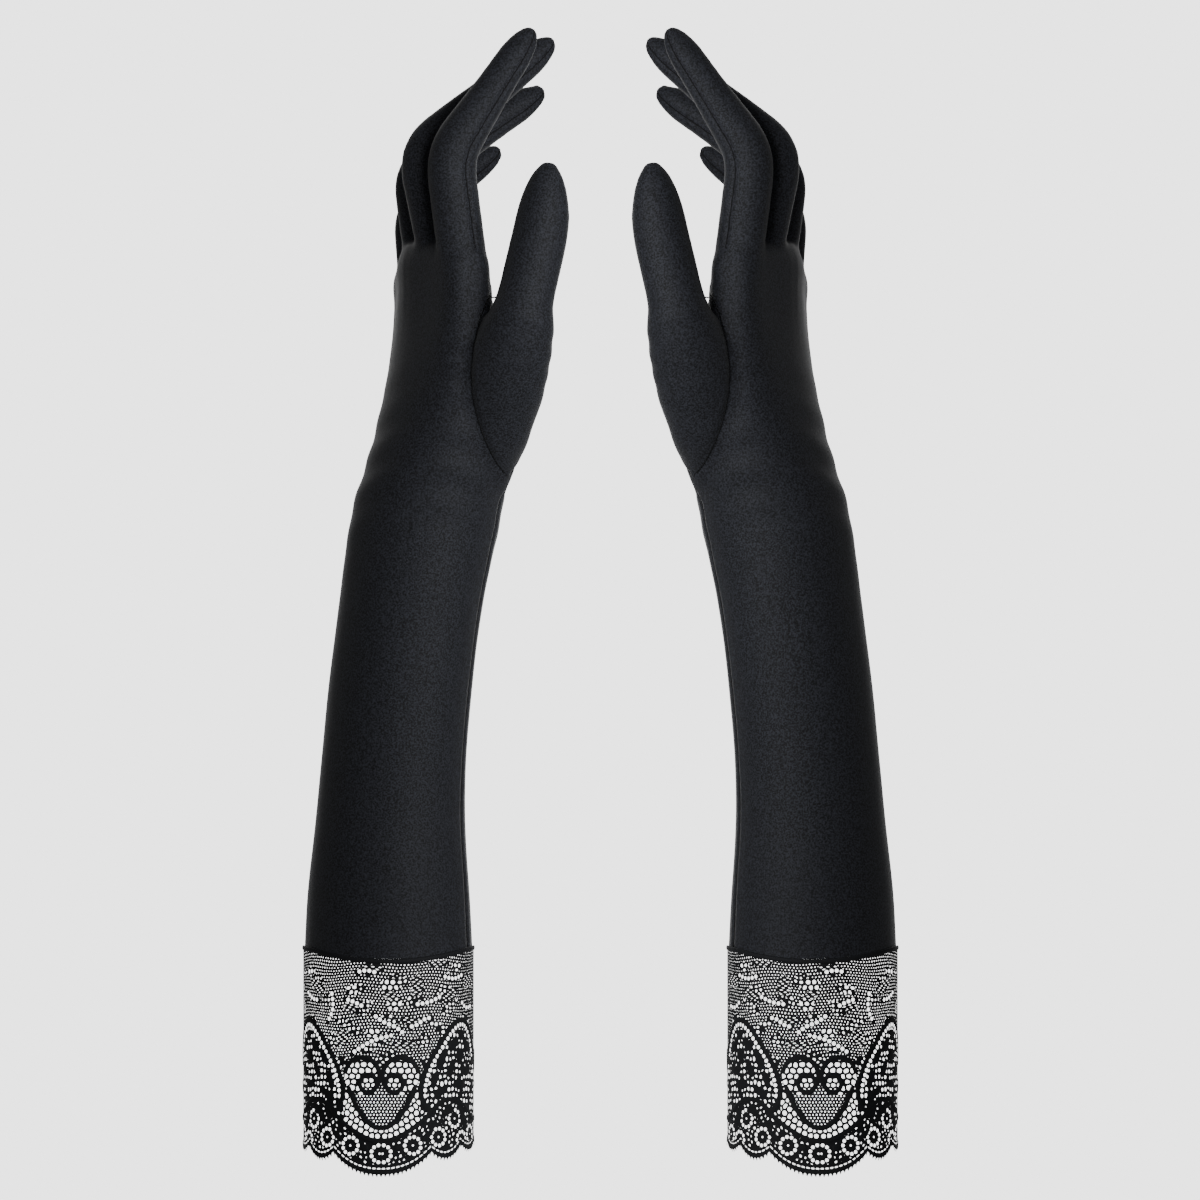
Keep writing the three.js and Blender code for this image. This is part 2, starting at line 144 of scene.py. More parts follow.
def tube_faces(rows, count, first=0):
    """Quads over rows rings of count points, row by row."""
    i, k = np.meshgrid(np.arange(rows - 1), np.arange(count), indexing="ij")
    a = first + i * count + k
    b = first + i * count + (k + 1) % count
    return np.stack([a, b, b + count, a + count], -1).reshape(-1, 4)


def closed_tube(rings):
    """Points and faces of a stack of rings whose two ends close on their middles."""
    rows, count = rings.shape[:2]
    points = np.vstack([rings.reshape(-1, 3), rings[0].mean(0), rings[-1].mean(0)])
    k = np.arange(count)
    low = np.stack([(k + 1) % count, k, np.full(count, rows * count)], -1)
    top = (rows - 1) * count
    high = np.stack([top + k, top + (k + 1) % count, np.full(count, rows * count + 1)], -1)
    return points, [*tube_faces(rows, count), *low, *high]


# ---- digits ----
# v: place along the knuckle row; z: knuckle; r: half thickness; length: knuckle to tip; lean, end:
# slope towards the palm before and after the bend, in degrees; bend: where, as shares of length.
BENDS = {
    "index": (0.29, 0.52),
    "middle": (0.26, 0.47),
    "ring": (0.26, 0.44),
    "little": (0.22, 0.48),
    "thumb": (0.3, 0.7),
}
DIGITS = {
    "index": dict(v=-1.5 * PITCH, z=KNUCKLE_Z - 2, r=10.0, length=104.5, lean=-8, end=35),
    "middle": dict(v=-0.5 * PITCH, z=KNUCKLE_Z, r=9.6, length=113, lean=-12, end=51),
    "ring": dict(v=0.5 * PITCH, z=KNUCKLE_Z - 2, r=9.2, length=98, lean=-8, end=58),
    "little": dict(v=1.5 * PITCH, z=KNUCKLE_Z - 8, r=8.6, length=69, lean=-5, end=54),
    "thumb": dict(v=-1.5 * PITCH - 21, u=18.3, z=WRIST_Z + 72, r=11.3, length=57, lean=14, end=7),
}
for name, one in DIGITS.items():
    one["bend"] = BENDS[name]
    one.setdefault("u", float(arch_at(one["v"])))


def middle_line(digit, s):
    """u, z and slope at distances s from the knuckle: the slope's sine and cosine summed along s."""
    start, stop = (share * digit["length"] for share in digit["bend"])
    fine = np.linspace(-25, digit["length"] + 5, 800)
    slope = np.radians(mix(digit["lean"], digit["end"], ease(fine, start, stop)))
    step = fine[1] - fine[0]
    u, z = np.cumsum(np.sin(slope)) * step, np.cumsum(np.cos(slope)) * step
    u += digit["u"] - np.interp(0, fine, u)
    z += digit["z"] - np.interp(0, fine, z)
    return tuple(np.interp(s, fine, q) for q in (u, z, slope))


def half_thickness(digit, s):
    """A gentle taper over the length, times a round tip."""
    thumb = digit is DIGITS["thumb"]
    taper = 1 - (0.08 if thumb else 0.3) * ease(s / digit["length"], 0.35, 0.85)
    tip = digit["r"] * (2.3 if thumb else 1.8)
    past = np.clip((s - (digit["length"] - tip)) / tip, 0, 1)
    return digit["r"] * taper * (1 - past**2) ** 0.57


def on_digit(digit, s, t, grow=0.0):
    """Point at distance s from the knuckle and angle t round the digit; t = 0 faces the palm."""
    u, z, slope = middle_line(digit, s)
    r = half_thickness(digit, s) + grow
    across = 0.99 if digit is DIGITS["thumb"] else 0.83 + 0.04 * ease(s, 0, 30)
    out = r * np.cos(t)
    return hand_point(u + out * np.cos(slope), digit["v"] + r * across * np.sin(t), z - out * np.sin(slope))


def digit_tube(digit, foot):
    """Rings from foot below the knuckle to the tip, closer together over the tip's last stretch."""
    reach = digit["length"] - 0.02
    over_tip = reach - 8 * (1 - np.sin(np.linspace(0.1, math.pi / 2, 16)))
    s = np.concatenate([np.linspace(foot, reach - 8, 60), over_tip])
    t = np.linspace(0, 2 * math.pi, 40, endpoint=False)
    return closed_tube(on_digit(digit, s[:, None], t[None, :]))


# ---- hand and sleeve ----
SHIFT = CUFF_X - HAND_X
# height, middle, half depth, half breadth, squareness (2 is an ellipse), share of the arch
LEVELS = np.array(
    [
        [SLEEVE_Z - 8, SHIFT, CUFF_R - 0.4, CUFF_R - 0.8, 2, 0],
        [mix(SLEEVE_Z, WRIST_Z, 0.12), SHIFT, CUFF_R * 0.945, CUFF_R * 0.94, 2, 0],
        [mix(SLEEVE_Z, WRIST_Z, 0.33), SHIFT * 0.95, ARM_R * 1.03, ARM_R * 1.04, 2, 0],
        [mix(SLEEVE_Z, WRIST_Z, 0.54), SHIFT * 0.81, ARM_R, ARM_R * 1.04, 2, 0],
        [mix(SLEEVE_Z, WRIST_Z, 0.75), SHIFT * 0.58, ARM_R, ARM_R * 1.05, 2, 0],
        [WRIST_Z - HAND_LENGTH * 0.08, SHIFT * 0.25, WRIST_R, WRIST_R * 1.05, 2, 0],
        [WRIST_Z + HAND_LENGTH * 0.1, SHIFT * 0.09, WRIST_R * 0.91, mix(WRIST_R, HALF_HAND, 0.35), 2.1, 0.1],
        [WRIST_Z + HAND_LENGTH * 0.27, 0, WRIST_R * 0.79, mix(WRIST_R, HALF_HAND, 0.6), 2.2, 0.3],
        [WRIST_Z + HAND_LENGTH * 0.47, 1, WRIST_R * 0.64, mix(WRIST_R, HALF_HAND, 0.85), 2.5, 0.5],
        [WRIST_Z + HAND_LENGTH * 0.68, 1, mix(HAND_DEPTH / 2, WRIST_R, 0.16), 39.2, 2.9, 0.75],
        [WRIST_Z + HAND_LENGTH * 0.85, 0.5, HAND_DEPTH * 0.52, 38.8, 3.2, 1],
        [KNUCKLE_Z + 1, 0, HAND_DEPTH * 0.47, 37.6, 3.2, 1],
        [KNUCKLE_Z + 5.5, 0, HAND_DEPTH * 0.36, 35.5, 3.0, 1],
        [KNUCKLE_Z + 7.5, 0, HAND_DEPTH * 0.2, 33.0, 2.8, 1],
    ]
)


def level_at(z):
    """The sleeve's section at height z: a cubic through the levels' values."""
    knots, values = LEVELS[:, 0], LEVELS[:, 1:]
    i = np.clip(np.searchsorted(knots, z) - 1, 0, len(knots) - 2)
    width = (knots[i + 1] - knots[i])[:, None]
    t = ((z - knots[i]) / width[:, 0])[:, None]
    slope = np.gradient(values, knots, axis=0)
    square, cube = t**2, t**3
    low = (2 * cube - 3 * square + 1) * values[i] + (cube - 2 * square + t) * width * slope[i]
    high = (3 * square - 2 * cube) * values[i + 1] + (cube - square) * width * slope[i + 1]
    return low + high


def sleeve_tube():
    """Rings |u/a|^n + |v/b|^n = 1, shifted by the arch, from below the cuff seam to the webs."""
    over_webs = np.linspace(KNUCKLE_Z + 1, KNUCKLE_Z + 7.5, 8)
    z = np.concatenate([np.linspace(SLEEVE_Z - 8, KNUCKLE_Z, 90), over_webs])
    x, a, b, n, arch = (q[:, None] for q in level_at(z).T)
    t = np.linspace(0, 2 * math.pi, 96, endpoint=False)[None, :]
    c, s = np.cos(t), np.sin(t)
    u = a * np.sign(c) * np.abs(c) ** (2 / n)
    v = b * np.sign(s) * np.abs(s) ** (2 / n)
    # the hand's edge falls towards the little finger
    fall = ease(z, WRIST_Z + 30, KNUCKLE_Z)[:, None] * 8 * ease(v, PITCH * 0.2, PITCH * 1.7)
    u = u + arch_at(v) * arch + x * math.cos(HAND_TURN)
    return closed_tube(hand_point(u, v - x * math.sin(HAND_TURN), z[:, None] - fall))


def root_tube():
    """The thumb's root: circles from inside the wrist to the thumb's knuckle, fullest midway."""
    thumb = DIGITS["thumb"]
    share = np.linspace(0.0, 0.84, 30)
    t = np.minimum(1, share / 0.8)
    r = mix(WRIST_R * 0.5, thumb["r"] + 0.2, t**1.6) + 4.0 * np.sin(math.pi * t**1.2)
    u = mix(WRIST_R * 0.27, thumb["u"], t) + (share - 0.8).clip(0) * HAND_LENGTH * 0.25
    v = mix(-WRIST_R * 0.3, thumb["v"], np.minimum(1, t / 0.92) ** 0.9)
    tilt = np.radians(mix(30, thumb["lean"], t))
    angle = np.linspace(0, 2 * math.pi, 40, endpoint=False)[None, :]
    out = r[:, None] * np.cos(angle)
    return closed_tube(
        hand_point(
            u[:, None] + out * np.cos(tilt)[:, None],
            v[:, None] + r[:, None] * np.sin(angle),
            (WRIST_Z + HAND_LENGTH * share)[:, None] - out * np.sin(tilt)[:, None],
        )
    )


def edges_of(faces):
    pairs = np.vstack([faces[:, [k, (k + 1) % 4]] for k in range(4)])
    return np.unique(np.sort(pairs, 1), axis=0)


def neighbour_mean(points, edges):
    """Mean of each point's neighbours along the edges."""
    count = np.bincount(edges.ravel(), minlength=len(points))[:, None]
    total = np.zeros_like(points)
    for a, b in ((0, 1), (1, 0)):
        for axis in range(3):
            total[:, axis] += np.bincount(edges[:, a], points[edges[:, b], axis], minlength=len(points))
    return total / np.maximum(count, 1)


def fused_skin():
    """One smooth skin over sleeve, thumb root and digits: fused by voxels, then relaxed."""
    points, faces = [], []
    digits = [digit_tube(d, THUMB_FOOT if k == "thumb" else FINGER_FOOT) for k, d in DIGITS.items()]
    for tube in (sleeve_tube(), root_tube(), *digits):
        base = sum(map(len, points))
        points.append(tube[0])
        faces.extend([f + base for f in tube[1]])
    raw = make_object("raw_skin", make_mesh("raw_skin", np.vstack(points), faces))
    remesh = raw.modifiers.new("fuse", "REMESH")
    remesh.mode = "VOXEL"
    remesh.voxel_size = VOXEL * MM
    remesh.adaptivity = 0
    graph = bpy.context.evaluated_depsgraph_get()
    shell = raw.evaluated_get(graph).to_mesh()
    co = np.empty(len(shell.vertices) * 3)
    shell.vertices.foreach_get("co", co)
    quads = np.empty(len(shell.loops), int)
    shell.loops.foreach_get("vertex_index", quads)
    bpy.data.objects.remove(raw)
    co, quads = co.reshape(-1, 3) / MM, quads.reshape(-1, 4)
    edges = edges_of(quads)
    # smoothing that keeps the volume, each pass in and out again, then three soft passes
    for _ in range(14):
        co = mix(co, neighbour_mean(co, edges), 0.6)
        co = mix(co, neighbour_mean(co, edges), -0.61)
    for _ in range(3):
        co = mix(co, neighbour_mean(co, edges), 0.5)
    return co, quads


def crossed_diagonals(points, quads):
    """Each quad's two diagonals crossed: its normal, as long as twice its area."""
    a, b, c, d = (points[quads[:, k]] for k in range(4))
    return np.cross(c - a, d - b)


def normals_of(points, quads):
    """Vertex normals: each face's two diagonals crossed, summed on its corners."""
    flat = crossed_diagonals(points, quads)
    total = np.zeros_like(points)
    for k in range(4):
        for axis in range(3):
            total[:, axis] += np.bincount(quads[:, k], flat[:, axis], minlength=len(points))
    return total / np.maximum(np.linalg.norm(total, axis=1, keepdims=True), 1e-9)


# ---- seams, as runs of points on the skin ----


def cast(tree, starts, directions):
    """First points of the skin met from starts along directions; misses are left out."""
    found = []
    for start, way in zip(starts, directions, strict=True):
        hit = tree.ray_cast(Vector(start), Vector(way))[0]
        if hit is not None:
            found.append(tuple(hit))
    return np.array(found)


def nearest(tree, points):
    return np.array([tuple(tree.find_nearest(Vector(p))[0]) for p in points])


def arm_middle(z):
    x = level_at(z)[:, 0]
    return np.stack([HAND_X + x, np.zeros_like(x), z], -1)


def arm_seam(tree, z, degrees):
    """Down the forearm at an angle from the front towards +X."""
    angle = np.radians(degrees) * np.ones_like(z)
    out = np.stack([np.sin(angle), -np.cos(angle), np.zeros_like(angle)], -1)
    return cast(tree, arm_middle(z) + out * 90, -out)


def gusset_front(tree):
    """The curved seam from the fork beside the index finger to the inside of the wrist."""
    t = np.linspace(0, 1, 60)
    x = mix(HAND_X * 0.657, HAND_X * 0.606, t) - 12 * np.sin(math.pi * t).clip(0) ** 0.75
    z = mix(WRIST_Z + HAND_LENGTH * 0.862, WRIST_Z + HAND_LENGTH * 0.035, t)
    starts = np.stack([x, np.full_like(x, -120), z], -1)
    met = cast(tree, starts, np.tile([0.0, 1.0, 0.0], (len(t), 1)))
    return met[met[:, 1] < -12]


def gusset_palm(tree):
    """The crease round the ball of the thumb, seen from the palm."""
    t = np.linspace(0, 1, 60)
    y = mix(-30, -16, t) + 24 * np.sin(math.pi * t) ** 0.9
    z = mix(WRIST_Z + HAND_LENGTH * 0.84, WRIST_Z + HAND_LENGTH * 0.035, t)
    starts = np.stack([np.full_like(y, 120), y, z], -1)
    return cast(tree, starts, np.tile([-1.0, 0.0, 0.0], (len(t), 1)))


def finger_seam(tree, digit, side, foot):
    """Up one side of a finger, a third of its thickness in front of the middle, over the tip."""
    tip = digit["length"]
    s = np.concatenate([np.linspace(foot, tip - 5, 70), np.linspace(tip - 4.6, tip - 0.05, 14)])
    return nearest(tree, on_digit(digit, s, side * (math.pi / 2 - 0.35), 0.5))


def seam_cord(name, runs, radius=0.28, sides=6):
    """Thin round cords along runs of points: rings square to each run's direction."""
    points, faces = [], []
    for run in runs:
        way = np.gradient(run, axis=0)
        way /= np.maximum(np.linalg.norm(way, axis=1, keepdims=True), 1e-9)
        first = np.cross(way, UP + 0.3 * ACROSS)
        first /= np.maximum(np.linalg.norm(first, axis=1, keepdims=True), 1e-9)
        second = np.cross(way, first)
        t = np.linspace(0, 2 * math.pi, sides, endpoint=False)
        c, s = (q[None, :, None] for q in (np.cos(t), np.sin(t)))
        ring = run[:, None] + radius * (first[:, None] * c + second[:, None] * s)
        base = sum(map(len, points))
        some, those = closed_tube(ring)
        points.append(some)
        faces.extend([f + base for f in those])
    return make_object(name, make_mesh(name, np.vstack(points), faces))


def thin_out(run, gap):
    """Even spacing along a run."""
    walked = np.concatenate([[0], np.cumsum(np.linalg.norm(np.diff(run, axis=0), axis=1))])
    at = np.linspace(0, walked[-1], max(2, int(walked[-1] / gap)))
    return np.stack([np.interp(at, walked, run[:, k]) for k in range(3)], -1)


def relaxed(run, times=4):
    for _ in range(times):
        run[1:-1] = 0.5 * run[1:-1] + 0.25 * (run[:-2] + run[2:])
    return run


# ---- lace: a thread field over arc length a and height z, cut out along its zero line ----
LACE_R = CUFF_R - 0.2
HALF_TURN = math.pi * LACE_R  # one repeat of the motif

# lines of thick thread on one half of the motif, as arc from its middle and height
VEE = [(13.6, 35), (12.6, 32.2), (9.8, 27), (7, 23), (4.6, 20.8), (2.4, 19.4), (0, 19.2)]
STEM = [(16.2, 35), (16.8, 30.4), (18.6, 27), (21, 26)]
OUTER = [(0, 14.0), (3, 14.1), (5.8, 15.0), (9, 16.6), (12.4, 18.6), (16, 21.2), (19, 23.6), (21.6, 26.4)]
OUTER_END = [(25, 29.4), (30, 31), (36, 30.4), (41, 28), (46, 25), (50, 23.5), (54.5, 23)]
PETAL = [(16, 31), (16.4, 37.4), (19.2, 44.6), (22.6, 49.6), (26, 54), (30.5, 59.4), (36.7, 63.2)]
PETAL_END = [(43, 62), (48.5, 55), (51.8, 47), (54.5, 42)]
# middle and reach of each scroll, and of the small ring inside it
SCROLL = (8.0, 40.0, 7.4)
CURL = (5.3, 37.0, 3.5)
# leaves of close thread: middle, half length, half width, slope
LEAVES = [
    (26.5, 47.6, 4.4, 1.9, 0.9), (32.6, 52.6, 3.4, 2.2, 0.5), (38, 57, 3, 1.8, -0.2),
    (31.5, 43.2, 4.4, 2, 1.1),
    (37.5, 48, 3.4, 2.2, 0.2), (43, 52, 3.6, 2, -0.8), (43, 42.5, 4, 2.4, 0.4), (36.5, 37, 4.4, 1.8, 0),
    (48.6, 36, 4, 2.2, 0.8), (22.8, 38.6, 4.2, 1.7, 1.2), (25.5, 33.4, 3.6, 1.6, 0.6), (49, 46, 3, 2, 0.3),
    (19.4, 16.4, 3.6, 1.4, 0.7), (7, 11.6, 2, 1.4, 0.4), (29.5, 26, 4, 1.6, 0.2), (40, 22.6, 4, 1.8, -0.4),
]
RINGS = [(0.6, 8.9), (13, 12.2), (24.6, 15.6), (38.5, 14.4), (33.5, 23), (46.5, 16.8)]
# the upper ground: leaves of drawn thread, rows of large holes, and knots of them
SHADES = [
    (15, 76, 4.4, 2.6, 1.5), (-13, 68, 4, 2, 0.4), (-17, 55, 4, 2.4, 1.2), (4, 72, 3.6, 1.8, -0.4),
    (9, 52.5, 5, 1.8, 0.1), (30, 72, 5, 2.2, 0.5), (-31, 76, 5, 2.4, -0.5), (44, 78, 5, 2.4, 0.2),
    (-4, 83, 5, 1.6, 0), (12, 62, 4.6, 1.5, -0.2), (-46, 68, 4, 2.4, 0.8), (24, 85, 5, 1.5, 0),
]
RUNS = [
    [(-3, 64.5), (1, 61.4), (5.5, 60), (8.5, 57.6)], [(11.5, 59.6), (15, 60.4), (17.6, 62.8), (21, 63.4)],
    [(-12, 49.2), (-7, 52.4), (-2, 54.8), (4, 56.2)], [(-15, 70.8), (-11, 69.6), (-7, 67.6)],
    [(-10, 81.6), (-6, 82.4), (-2, 81.4)], [(14, 68.6), (20, 69.4), (25, 71.6)],
    [(-24, 62), (-21, 67), (-22, 73)],
    [(27, 80), (33, 78.6), (39, 80.6)], [(-40, 74), (-35, 71), (-30, 70.4)], [(38, 70), (42, 67), (47, 68)],
]
KNOTS = [
    (4, 76.4, 4.4, 2.6), (5.4, 68.4, 3, 2.4), (-12, 74.6, 3, 1.5),
    (-3, 57, 3.4, 1.6), (-36, 82, 3, 2), (35, 84, 3, 2),
]


def rounded(points, times=3):
    """Corner cutting: each leg gives way to its quarter and three-quarter points."""
    line = np.array(points, float)
    for _ in range(times):
        inner = np.stack([mix(line[:-1], line[1:], 0.25), mix(line[:-1], line[1:], 0.75)], 1).reshape(-1, 2)
        line = np.vstack([line[:1], inner, line[-1:]])
    return line


def line_distance(m, z, line):
    """Distance from each point to a run of short legs, and how far along it the nearest point is."""
    best, along, walked = np.full(m.shape, 1e9), np.zeros(m.shape), 0.0
    for (ax, az), (bx, bz) in zip(line[:-1], line[1:], strict=True):
        dx, dz = bx - ax, bz - az
        t = np.clip(((m - ax) * dx + (z - az) * dz) / max(dx * dx + dz * dz, 1e-9), 0, 1)
        gap = (m - ax - t * dx) ** 2 + (z - az - t * dz) ** 2
        along = np.where(gap < best, walked + t * math.hypot(dx, dz), along)
        best = np.minimum(best, gap)
        walked += math.hypot(dx, dz)
    return np.sqrt(best), along


def net(a, z, across, rows, close):
    """Threads round staggered holes: close - (cos x cos z + cos 2z / 2), in about millimetres."""
    staggered = np.cos(2 * math.pi * a / across) * np.cos(math.pi * z / rows)
    wave = staggered + 0.5 * np.cos(2 * math.pi * z / rows)
    return (close - wave) * across / 7.5


def scallop(turn):
    """Height of the lower edge at an angle from the motif's middle: one deep wave, four shallow."""
    turn = (turn + math.pi / 2) % math.pi - math.pi / 2
    deep = math.radians(35)
    rise = 6 * np.sin(turn) ** 4
    small = (math.pi - 2 * deep) / 4
    across = ((np.abs(turn) - deep) % small) / small * 2 - 1
    shallow = 8.5 - 3.6 * (1 - across**2)
    return np.where(np.abs(turn) <= deep, 8.5 * np.abs(turn / deep) ** 2.2, shallow) + rise


def foam(a, z, size, width, loose=0.35):
    """Threads between uneven cells: each is half of second-nearest less nearest seed distance.

    The seeds are a staggered grid shaken by loose times its pitch; round corners come from a limit
    on the nearest distance. The grid repeats with the motif.
    """
    columns = round(HALF_TURN / size)
    pitch = HALF_TURN / columns
    row = np.floor(z / (pitch * 0.87))
    first, second = np.full(a.shape, 1e9), np.full(a.shape, 1e9)
    for dr in (-1, 0, 1):
        r = row + dr
        stagger = 0.5 * (r % 2)
        for dc in (-1, 0, 1):
            c = np.floor(a / pitch - stagger) + dc
            key = (c % columns) * 12.9898 + r * 78.233
            shake_a, shake_z = (np.modf(np.sin(key + k) * 4375.85)[0] * loose * 0.5 for k in (0.7, 2.9))
            seed_a = (c + 0.5 + stagger + shake_a) * pitch
            seed_z = (r + 0.5 + shake_z) * pitch * 0.87
            gap = np.hypot(seed_a - a, seed_z - z)
            second = np.minimum(second, np.maximum(gap, first))
            first = np.minimum(first, gap)
    return np.maximum((width - second + first) / 2, first - pitch * 0.52 + width * 0.25)


def bead(gap, along, pitch, reach):
    """A row of round holes along a line: distance past each one's rim."""
    return np.hypot(gap, (along % pitch) - pitch / 2) - reach


def within(m, z, spot):
    """Below 1 inside an ellipse given as middle, half length, half width and slope."""
    x, y, length, breadth = spot[:4]
    slope = spot[4] if len(spot) > 4 else 0
    along = (m - x) * math.cos(slope) + (z - y) * math.sin(slope)
    across = (z - y) * math.cos(slope) - (m - x) * math.sin(slope)
    return np.hypot(along / length, across / breadth)


def upper_ground(a, z):
    """Fine net with leaves of drawn thread and rows and knots of large holes, once per repeat."""
    wide = (a + HALF_TURN / 2) % HALF_TURN - HALF_TURN / 2
    slack_a = a + 0.25 * np.sin(0.37 * z + 0.9 * np.sin(0.23 * a))
    slack_z = z + 0.5 * np.sin(0.21 * a + 1.1 * np.sin(0.19 * z))
    field = foam(slack_a, slack_z, 1.4, 0.8, 0.3)
    medium = foam(slack_a, slack_z, 1.95, 0.84, 0.7)
    patches = np.sin(0.33 * a + 1.3 * np.sin(0.31 * z)) * np.cos(0.41 * z - 0.9 * np.sin(0.17 * a))
    field = np.where((patches > 0.42) & (z < 82), medium, field)
    drawn = net(slack_a + 0.6 * np.sin(z * 1.3), slack_z, 3.0, 0.85, 0.66)
    for spot in SHADES:
        field = np.where(within(wide, z, spot) < 1 + 0.2 * np.sin(2.3 * a + z), drawn, field)
    large = foam(a, z, 2.5, 0.9, 0.35)
    for spot in KNOTS:
        field = np.where(within(wide, z, spot) < 1, large, field)
    for run in RUNS:
        gap, along = line_distance(wide, z, rounded(run))
        field = np.where(gap < 1.05, bead(gap, along, 2.1, 0.78), field)
    return field


def petals(m, a, z, to_petal, along_petal):
    """Side petals: a chain of holes along the flank, then uneven holes between close leaves."""
    field = foam(a, z * 0.8, 2.2, 0.95, 0.65)
    return np.where(to_petal < 3.1, bead(to_petal - 2.1, along_petal, 2.3, 0.8), field)


def lace_field(a, z):
    """Thread field and relief at arc a and height z; the drawn lines are even in a."""
    m = np.abs((a + HALF_TURN / 2) % HALF_TURN - HALF_TURN / 2)
    edge = scallop(a / LACE_R)
    vee, outer, petal = rounded(VEE), rounded(OUTER + OUTER_END), rounded(PETAL + PETAL_END)
    (to_outer, along_outer), (to_petal, along_petal), (to_vee, _) = (
        line_distance(m, z, line) for line in (outer, petal, vee)
    )
    below_outer = z < np.interp(m, *outer.T)
    below_petal = (m > 16) & (z < np.interp(m, *petal.T)) & ~below_outer
    scroll = np.hypot(m - SCROLL[0], z - SCROLL[1])
    curl = np.hypot(m - CURL[0], z - CURL[1])
    field = upper_ground(a, z)
    # the V of fine net, two rows of large holes outside it, the scrolls over it
    in_vee = (z > np.interp(m, *vee[::-1].T)) & (m < 13.6) & (z < 37)
    channel = ~below_outer & ~in_vee & (m < 20.5) & (z < 33.5) & ~below_petal
    field = np.where(channel, foam(along_outer, to_outer - 0.5, 2.75, 0.9, 0.3), field)
    field = np.where(in_vee, foam(a, z, 1.45, 0.78, 0.25), field)
    field = np.where(scroll < SCROLL[2], foam(m, z, 2.8, 0.9, 0.45), field)
    field = np.where(curl < CURL[2], foam(m + 0.4, z + 0.7, 2.3, 0.8, 0.3), field)
    field = np.where(below_petal, petals(m, a, z, to_petal, along_petal), field)
    # flowered border under the outer thread
    border = foam(a, (z - edge) * 0.9, 2.0, 1.1, 0.65)
    field = np.where(below_outer, border, field)
    for rm, rz in RINGS:
        r = np.hypot(m - rm, z - rz)
        around = np.arctan2(z - rz, m - rm) * 3.4
        field = np.where((r > 2.2) & (r < 4.7), bead(r - 3.4, around, 3.4 * math.pi / 5.5, 0.72), field)
        field = np.where(r < 2.3, r - 0.42, field)
    bars = np.abs(np.sin(2 * math.pi * a * 28 / HALF_TURN))
    slits = np.maximum(np.abs(z - edge - 2.9) - 0.28, 0.24 - bars * 0.5)
    field = np.where(np.abs(z - edge - 2.9) < 0.9, slits, field)
    # the net is worked closer towards the cuff's sides
    field = field + 0.07 * ease(m, 26, 46)
    # thick outlining threads and leaves
    gimp = 1.05 - to_vee
    open_side = (m > SCROLL[0] + 2) & (z < SCROLL[1] + 1) | (z < 35.2)
    gimp = np.maximum(gimp, np.where(open_side, -1, 1.05 - np.abs(scroll - SCROLL[2])))
    gimp = np.maximum(gimp, 0.95 - np.abs(curl - CURL[2]))
    gimp = np.maximum(gimp, 1.1 - line_distance(m, z, rounded(STEM))[0])
    gimp = np.maximum(gimp, 1.0 - to_outer)
    gimp = np.maximum(gimp, 0.9 - to_petal)
    for leaf in LEAVES:
        gimp = np.maximum(gimp, 1.5 * (0.93 - within(m, z, leaf)))
    gimp = np.maximum(gimp, 1.05 - np.abs(z - edge - 1.1))
    field = np.maximum(field, gimp)
    # lower edge: short teeth of thread
    tooth = np.cos(2 * math.pi * a * 63 / HALF_TURN).clip(0) ** 0.6
    field = np.minimum(field, z - edge - 0.55 + 1.1 * tooth)
    top = CUFF_HEIGHT + 0.5 + CUFF_SMILE * np.sin(a / LACE_R + LACE_TURN) ** 2
    return np.minimum(field, top - z), 0.28 * ease(gimp, -0.1, 0.35)


def cut_out(field, extra):
    """Triangles of the part of a grid where field > 0, with new points on its zero line."""
    rows, cols = field.shape
    ids = np.arange(rows * cols).reshape(rows, cols)
    a, b, c, d = (q.ravel() for q in (ids[:-1, :-1], ids[1:, :-1], ids[1:, 1:], ids[:-1, 1:]))
    tri = np.vstack([np.stack([a, b, c], -1), np.stack([a, c, d], -1)])
    flat = field.ravel()
    within = flat[tri] > 0
    count = within.sum(1)

    def rolled(rows_of, first):
        """Each triangle's corners, turned so that the one numbered first comes first."""
        turned = [np.take_along_axis(rows_of, (first[:, None] + k) % 3, 1)[:, 0] for k in range(3)]
        return np.stack(turned, -1)

    one = rolled(tri[count == 1], within[count == 1].argmax(1))
    two = rolled(tri[count == 2], (~within[count == 2]).argmax(1))
    pairs = np.vstack([one[:, [0, 1]], one[:, [0, 2]], two[:, [0, 1]], two[:, [0, 2]]])
    pairs = np.sort(pairs, 1)
    keys, back = np.unique(pairs[:, 0] * flat.size + pairs[:, 1], return_inverse=True)
    low, high = keys // flat.size, keys % flat.size
    t = np.clip(flat[low] / (flat[low] - flat[high]), 0.02, 0.98)[:, None]
    points = np.vstack([extra, mix(extra[low], extra[high], t)])
    new = np.split(back + flat.size, np.cumsum([len(one), len(one), len(two)]))
    faces = np.vstack(
        [
            tri[count == 3],
            np.stack([one[:, 0], new[0], new[1]], -1),
            np.stack([new[2], two[:, 1], two[:, 2]], -1),
            np.stack([new[2], two[:, 2], new[3]], -1),
        ]
    )
    used, faces = np.unique(faces, return_inverse=True)
    return points[used], faces.reshape(-1, 3)


